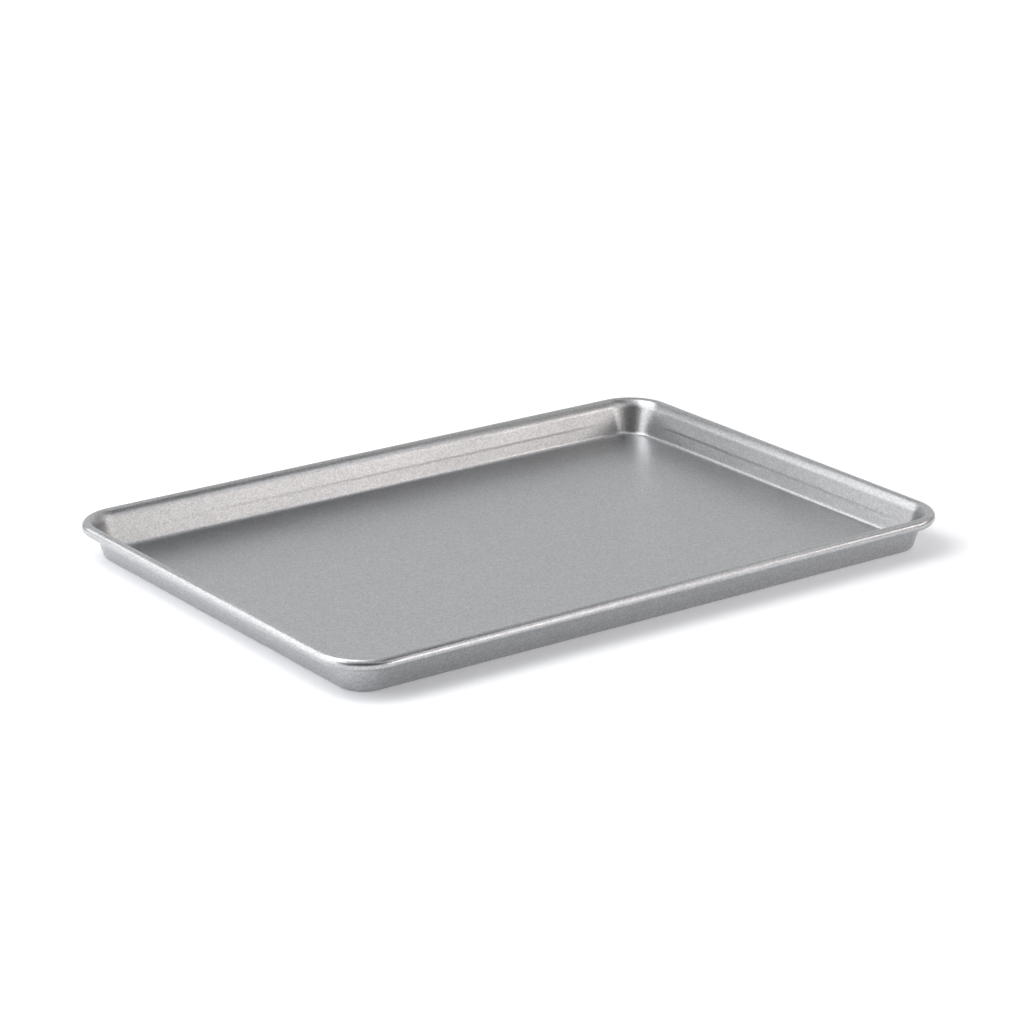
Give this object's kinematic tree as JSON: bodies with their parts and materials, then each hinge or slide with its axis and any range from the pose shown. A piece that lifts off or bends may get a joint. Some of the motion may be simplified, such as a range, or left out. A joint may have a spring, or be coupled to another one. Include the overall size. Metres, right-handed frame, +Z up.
{
  "type": "jelly roll pan",
  "caption": "Shallow rectangular steel baking pan with sloping walls, rounded corners and a bead curled round a wire.",
  "frame": {"origin": "middle of the underside of the floor, on the surface that the pan stands on", "axes": "+X along the long sides, +Y towards the long side that holds the wire's two ends, +Z up out of the well"},
  "size_m": [0.45, 0.32, 0.024],
  "materials": {
    "coated_steel": "silver grey baked coating with a fine metallic fleck, satin",
    "plated_wire": "drawn steel wire, zinc plated"
  },
  "bodies": {
    "root": {"pan": "coated_steel", "rim_wire": "plated_wire"}
  },
  "joints": []
}
